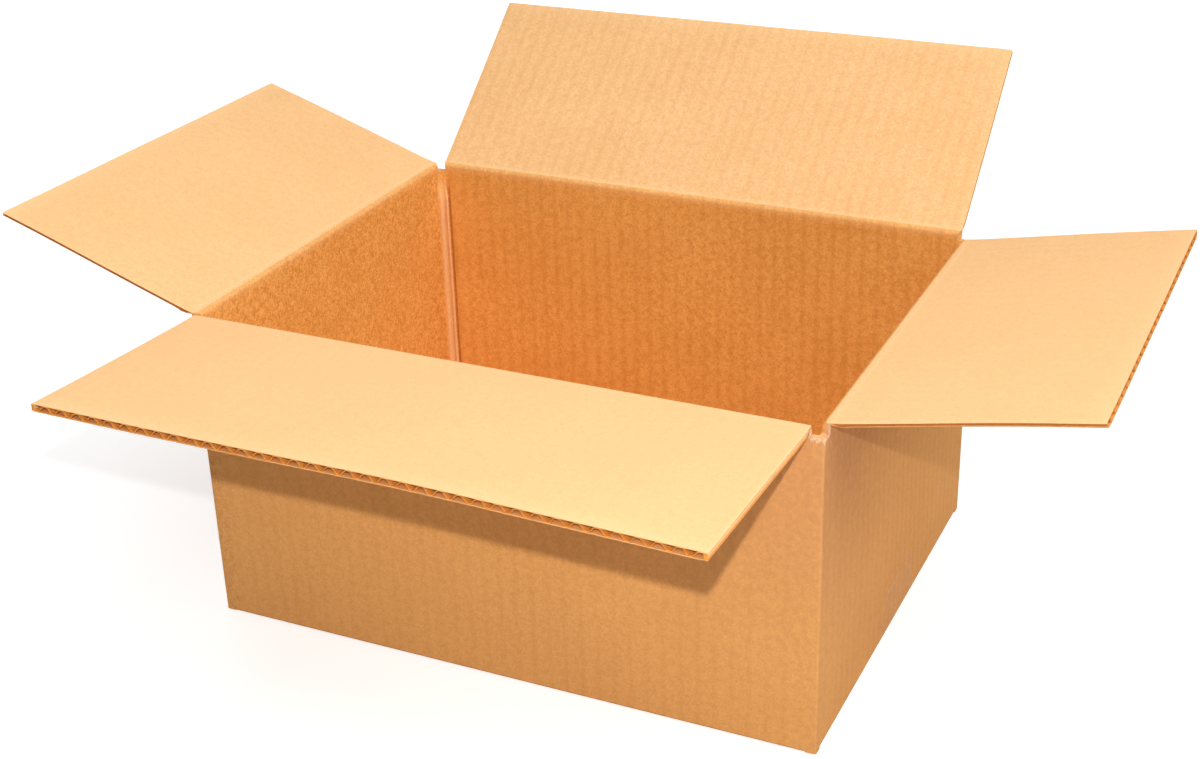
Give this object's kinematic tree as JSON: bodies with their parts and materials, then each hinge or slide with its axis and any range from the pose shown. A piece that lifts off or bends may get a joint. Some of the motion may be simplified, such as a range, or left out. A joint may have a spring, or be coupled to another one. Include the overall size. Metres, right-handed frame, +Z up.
{
  "type": "open cardboard box",
  "caption": "Rectangular shipping box of corrugated kraft board, open at the top, with hinged top flaps folded outwards and a taped bottom",
  "frame": {"origin": "on the floor under the middle of the base", "axes": "X along the long walls, Y from the front wall to the back wall, Z up"},
  "size_m": [0.5284, 0.4351, 0.2324],
  "materials": {
    "kraft_board": "uncoated kraft linerboard, matt, with fine flute lines",
    "clear_tape": "clear polypropylene packing tape, smooth and glossy"
  },
  "bodies": {
    "box": {"box_body": "kraft_board", "bottom_tape": "clear_tape"},
    "front_panel": {"front_flap": "kraft_board"},
    "right_panel": {"right_flap": "kraft_board"},
    "back_panel": {"back_flap": "kraft_board"},
    "left_panel": {"left_flap": "kraft_board"}
  },
  "joints": [
    {"name": "front_flap_crease", "type": "hinge", "parent": "box", "child": "front_panel", "pos_m": [0, -0.1197, 0.16379], "axis": [-1, 0, 0], "range_deg": [-33, 177]},
    {"name": "right_flap_crease", "type": "hinge", "parent": "box", "child": "right_panel", "pos_m": [0.1562, 0, 0.1618], "axis": [0, -1, 0], "range_deg": [-40.8, 169.2]},
    {"name": "back_flap_crease", "type": "hinge", "parent": "box", "child": "back_panel", "pos_m": [0, 0.11905, 0.16434], "axis": [1, 0, 0], "range_deg": [-69.5, 140.5]},
    {"name": "left_flap_crease", "type": "hinge", "parent": "box", "child": "left_panel", "pos_m": [-0.1562, 0, 0.1618], "axis": [0, 1, 0], "range_deg": [-48.7, 161.3]}
  ]
}
